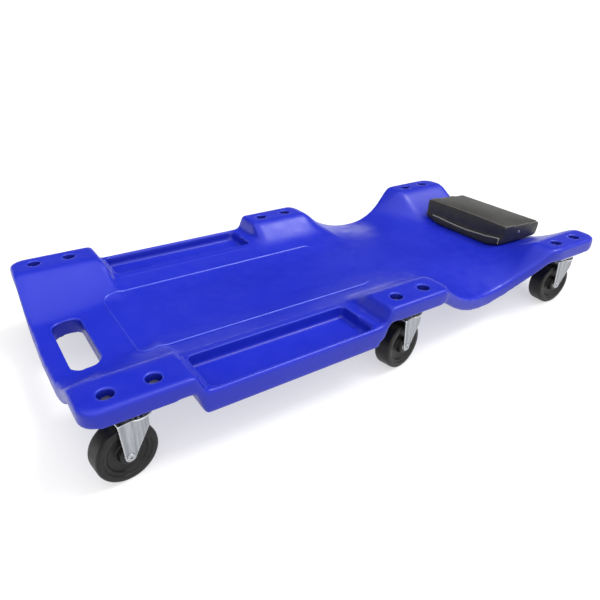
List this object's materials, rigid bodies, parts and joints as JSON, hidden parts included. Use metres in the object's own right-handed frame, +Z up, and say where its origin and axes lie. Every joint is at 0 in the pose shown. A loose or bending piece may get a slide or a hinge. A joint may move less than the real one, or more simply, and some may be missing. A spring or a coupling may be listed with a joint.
{
  "type": "mechanic's creeper",
  "caption": "Low rolling board for lying under a car: contoured moulded deck with side tool trays, hand hold, swivel casters and a padded headrest.",
  "frame": {"origin": "on the floor, under the middle of the overall box", "axes": "+X from the feet to the head, +Z up; the user's left, lying on the back, is -Y"},
  "size_m": [0.993, 0.473, 0.1257],
  "materials": {
    "deck_plastic": "satin blue blow-moulded polyethylene with fine mould grain",
    "zinc_steel": "bright zinc plated pressed steel",
    "bearing_steel": "polished steel balls",
    "wheel_plastic": "black hard moulded polypropylene, satin",
    "bush_nylon": "natural nylon",
    "headrest_vinyl": "black grained vinyl",
    "headrest_foam": "open-cell polyurethane foam",
    "plywood": "bent plywood"
  },
  "bodies": {
    "deck_body": {"deck": "deck_plastic", "caster_bolts": "zinc_steel", "caster_washers": "zinc_steel", "caster_nuts": "zinc_steel", "headrest_cover": "headrest_vinyl", "headrest_foam": "headrest_foam", "headrest_board": "plywood", "headrest_tee_nuts": "zinc_steel", "headrest_screws": "zinc_steel", "headrest_washers": "zinc_steel", "foot_left_top_plate": "zinc_steel", "foot_left_balls": "bearing_steel", "foot_left_kingpin": "zinc_steel", "foot_right_top_plate": "zinc_steel", "foot_right_balls": "bearing_steel", "foot_right_kingpin": "zinc_steel", "middle_left_top_plate": "zinc_steel", "middle_left_balls": "bearing_steel", "middle_left_kingpin": "zinc_steel", "middle_right_top_plate": "zinc_steel", "middle_right_balls": "bearing_steel", "middle_right_kingpin": "zinc_steel", "head_left_top_plate": "zinc_steel", "head_left_balls": "bearing_steel", "head_left_kingpin": "zinc_steel", "head_right_top_plate": "zinc_steel", "head_right_balls": "bearing_steel", "head_right_kingpin": "zinc_steel"},
    "foot_left_fork_body": {"foot_left_fork": "zinc_steel", "foot_left_axle": "zinc_steel"},
    "foot_left_wheel_body": {"foot_left_wheel": "wheel_plastic", "foot_left_bush": "bush_nylon"},
    "foot_right_fork_body": {"foot_right_fork": "zinc_steel", "foot_right_axle": "zinc_steel"},
    "foot_right_wheel_body": {"foot_right_wheel": "wheel_plastic", "foot_right_bush": "bush_nylon"},
    "middle_left_fork_body": {"middle_left_fork": "zinc_steel", "middle_left_axle": "zinc_steel"},
    "middle_left_wheel_body": {"middle_left_wheel": "wheel_plastic", "middle_left_bush": "bush_nylon"},
    "middle_right_fork_body": {"middle_right_fork": "zinc_steel", "middle_right_axle": "zinc_steel"},
    "middle_right_wheel_body": {"middle_right_wheel": "wheel_plastic", "middle_right_bush": "bush_nylon"},
    "head_left_fork_body": {"head_left_fork": "zinc_steel", "head_left_axle": "zinc_steel"},
    "head_left_wheel_body": {"head_left_wheel": "wheel_plastic", "head_left_bush": "bush_nylon"},
    "head_right_fork_body": {"head_right_fork": "zinc_steel", "head_right_axle": "zinc_steel"},
    "head_right_wheel_body": {"head_right_wheel": "wheel_plastic", "head_right_bush": "bush_nylon"}
  },
  "joints": [
    {"name": "foot_left_swivel", "type": "hinge", "parent": "deck_body", "child": "foot_left_fork_body", "pos_m": [-0.4273, -0.2075, 0.0925], "axis": [0, 0, 1], "continuous": true},
    {"name": "foot_left_wheel_spin", "type": "hinge", "parent": "foot_left_fork_body", "child": "foot_left_wheel_body", "pos_m": [-0.44711, -0.21028, 0.04], "axis": [-0.1392, 0.9903, 0], "continuous": true},
    {"name": "foot_right_swivel", "type": "hinge", "parent": "deck_body", "child": "foot_right_fork_body", "pos_m": [-0.4273, 0.2075, 0.0925], "axis": [0, 0, 1], "continuous": true},
    {"name": "foot_right_wheel_spin", "type": "hinge", "parent": "foot_right_fork_body", "child": "foot_right_wheel_body", "pos_m": [-0.44711, 0.21028, 0.04], "axis": [0.1392, 0.9903, 0], "continuous": true},
    {"name": "middle_left_swivel", "type": "hinge", "parent": "deck_body", "child": "middle_left_fork_body", "pos_m": [0.016, -0.2075, 0.0925], "axis": [0, 0, 1], "continuous": true},
    {"name": "middle_left_wheel_spin", "type": "hinge", "parent": "middle_left_fork_body", "child": "middle_left_wheel_body", "pos_m": [-0.0037, -0.21097, 0.04], "axis": [-0.1736, 0.9848, 0], "continuous": true},
    {"name": "middle_right_swivel", "type": "hinge", "parent": "deck_body", "child": "middle_right_fork_body", "pos_m": [0.016, 0.2075, 0.0925], "axis": [0, 0, 1], "continuous": true},
    {"name": "middle_right_wheel_spin", "type": "hinge", "parent": "middle_right_fork_body", "child": "middle_right_wheel_body", "pos_m": [-0.0037, 0.21097, 0.04], "axis": [0.1736, 0.9848, 0], "continuous": true},
    {"name": "head_left_swivel", "type": "hinge", "parent": "deck_body", "child": "head_left_fork_body", "pos_m": [0.4239, -0.2075, 0.0925], "axis": [0, 0, 1], "continuous": true},
    {"name": "head_left_wheel_spin", "type": "hinge", "parent": "head_left_fork_body", "child": "head_left_wheel_body", "pos_m": [0.40395, -0.2061, 0.04], "axis": [0.0698, 0.9976, 0], "continuous": true},
    {"name": "head_right_swivel", "type": "hinge", "parent": "deck_body", "child": "head_right_fork_body", "pos_m": [0.4239, 0.2075, 0.0925], "axis": [0, 0, 1], "continuous": true},
    {"name": "head_right_wheel_spin", "type": "hinge", "parent": "head_right_fork_body", "child": "head_right_wheel_body", "pos_m": [0.40395, 0.2061, 0.04], "axis": [-0.0698, 0.9976, 0], "continuous": true}
  ]
}
